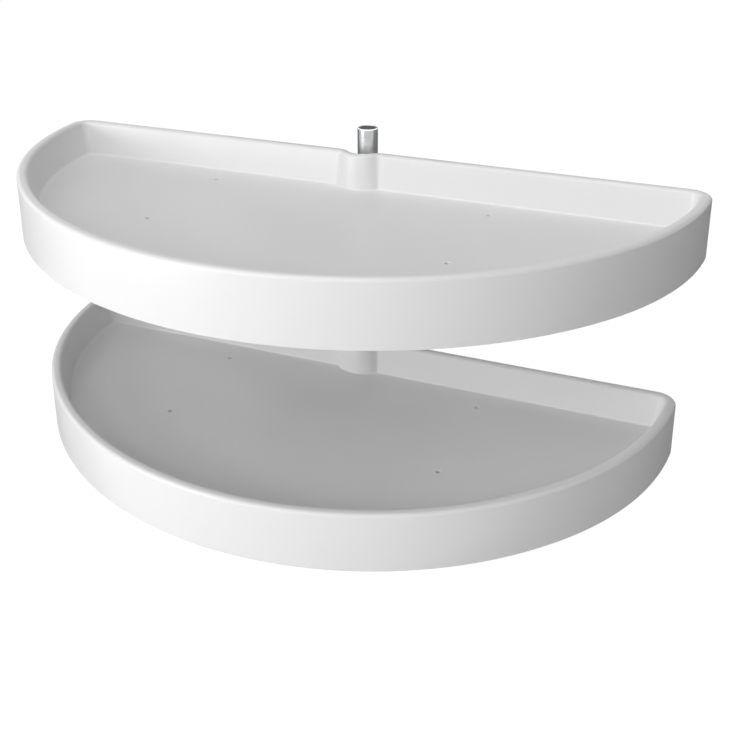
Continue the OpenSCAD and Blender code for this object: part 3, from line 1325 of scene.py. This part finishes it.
@dataclass
class Lamp:
    """A square soft box on an arm round the object: its direction, its power and its size.

    The bearing counts in degrees from the front towards the left, and the rise from level.
    """

    name: str
    bearing: float
    rise: float
    watts: float
    size: float = 1.6
    reach: float = 3.3

    def build(self, aim: Vector) -> None:
        """Add the lamp.

        Args:
            aim: The point that it faces.
        """
        data = bpy.data.lights.new(self.name, "AREA")
        data.shape = "SQUARE"
        data.size = self.size
        data.energy = self.watts
        lamp = bpy.data.objects.new(self.name, data)
        turn, tilt = math.radians(self.bearing), math.radians(self.rise)
        level = math.cos(tilt)
        arm = Vector((-math.sin(turn) * level, -math.cos(turn) * level, math.sin(tilt)))
        lamp.location = aim + arm * self.reach
        lamp.rotation_euler = arm.to_track_quat("Z", "Y").to_euler()
        bpy.context.scene.collection.objects.link(lamp)


@dataclass
class Flag:
    """A dark card that only reflections show: it gives the chrome its dark edges."""

    name: str
    corners: tuple
    glow: float = 0.15

    def build(self) -> None:
        """Add the card."""
        shape = Shape()
        shape.bm.faces.new([shape.bm.verts.new(corner) for corner in self.corners])
        dress_stage(shape.mesh(self.name), self.name, self.name, self.surface)

    def surface(self, tree: ShaderTree) -> Field:
        """Nothing but a faint glow in reflections.

        Args:
            tree: The tree to add nodes to.

        Returns:
            The surface.
        """
        glossy = tree.node("ShaderNodeLightPath", output=Ray.GLOSSY.value)
        dark = tree.light(self.glow)
        clear = tree.node("ShaderNodeBsdfTransparent")
        return tree.blend(glossy, clear, dark)


@dataclass
class Studio:
    """Floor, cards, world, lamps and camera."""

    floor_half: float = STAGE_HALF
    floor_shade: float = 0.86
    floor_glow: float = 1.26
    floor_share: float = 0.76
    ambient: float = 0.14
    aim: tuple = (0.0, -0.15, 0.25)
    lamps: tuple = (
        Lamp("key", 40, 8, 50.5),
        Lamp("front", 15, 30, 23.2),
        Lamp("boom", 0, 60, 14.0),
        Lamp("overhead", 0, 88, 18.4),
        Lamp("right_low", -20, 20, 9.3),
        Lamp("right_far", -60, 30, 5.2),
        Lamp("rear", 180, 50, 3.5),
    )
    flags: tuple = (
        Flag(
            "floor_flag",
            (
                (-STAGE_HALF, -0.4, CARD_LIFT),
                (STAGE_HALF, -0.4, CARD_LIFT),
                (STAGE_HALF, STAGE_HALF, CARD_LIFT),
                (-STAGE_HALF, STAGE_HALF, CARD_LIFT),
            ),
        ),
        Flag(
            "rear_flag",
            (
                (-0.429, 0.474, CARD_LIFT),
                (-0.021, 0.639, CARD_LIFT),
                (-0.021, 0.639, 0.62),
                (-0.429, 0.474, 0.62),
            ),
        ),
    )
    camera_at: tuple = (0.4394, -1.0834, 0.7267)
    camera_pitch: float = 28.73
    camera_yaw: float = 22.06
    lens: float = 47.284
    sensor_width: float = 36.0
    sight: tuple = (0.05, 60.0)

    def floor(self) -> None:
        """Add the pale floor that the foot of the post stands on."""
        shape = Shape()
        bmesh.ops.create_grid(shape.bm, x_segments=1, y_segments=1, size=self.floor_half)
        dress_stage(shape.mesh("studio_floor"), "studio_floor", "studio white", self.paper)

    def paper(self, tree: ShaderTree) -> Field:
        """White paper that the camera sees nearly evenly lit.

        Args:
            tree: The tree to add nodes to.

        Returns:
            The surface.
        """
        grey = (*shade(WHITE[:3], self.floor_shade), 1.0)
        matt = tree.node("ShaderNodeBsdfDiffuse", {}, {"Color": grey})
        glow = tree.light(self.floor_glow)
        return tree.blend(seen_directly(tree) * self.floor_share, matt, glow)

    def world(self) -> None:
        """Set the even light from all round, and the white behind the object."""
        world = bpy.data.worlds.new("studio")
        bpy.context.scene.world = world
        world.use_nodes = True
        tree = ShaderTree(world.node_tree)
        strength = seen_directly(tree) * (1.0 - self.ambient) + self.ambient
        air = tree.node("ShaderNodeBackground", {}, {"Color": WHITE, "Strength": strength})
        tree.node("ShaderNodeOutputWorld", {}, {"Surface": air})

    def camera(self) -> None:
        """Place the camera where the photograph was taken from."""
        data = bpy.data.cameras.new("camera")
        data.sensor_width = self.sensor_width
        data.lens = self.lens
        data.clip_start, data.clip_end = self.sight
        made = bpy.data.objects.new("camera", data)
        made.location = self.camera_at
        tilt, yaw = math.radians(90 - self.camera_pitch), math.radians(self.camera_yaw)
        made.rotation_euler = (tilt, 0, yaw)
        bpy.context.scene.collection.objects.link(made)
        bpy.context.scene.camera = made

    def build(self) -> None:
        """Set the whole studio."""
        bpy.context.scene.view_settings.view_transform = "Standard"
        self.camera()
        self.floor()
        for flag in self.flags:
            flag.build()
        self.world()
        for lamp in self.lamps:
            lamp.build(Vector(self.aim))


def main() -> None:
    """Build the carousel in order."""
    logging.basicConfig(level=logging.INFO, format="%(message)s")
    Studio().build()
    places = (
        Place("upper_", "upper_carousel", UPPER_RIM),
        Place("lower_", "lower_carousel", LOWER_RIM),
    )
    tray = Tray()
    tray.build(places)
    Hub().build(places, tray.bosses())
    Post().build()
    for place in places:
        name = place.prefix
        copy_packed(name + "carrier_plate", name + "carrier", place.body, PRESSED_ZINC)
        copy_packed(name + "retaining_ring", name + "snap_ring", FIXED, SCREW_BLACK)
        copy_packed(name + "clamp_collar", name + "collar", FIXED, PRESSED_ZINC)
        copy_packed(name + "collar_screw", name + "collar_bolt", FIXED, SCREW_BLACK)
    copy_packed("base_flange", "floor_flange", FIXED, PRESSED_ZINC)
    copy_packed("base_set_screws", "flange_set_screws", FIXED, SCREW_BLACK)


if __name__ == "__main__":
    main()
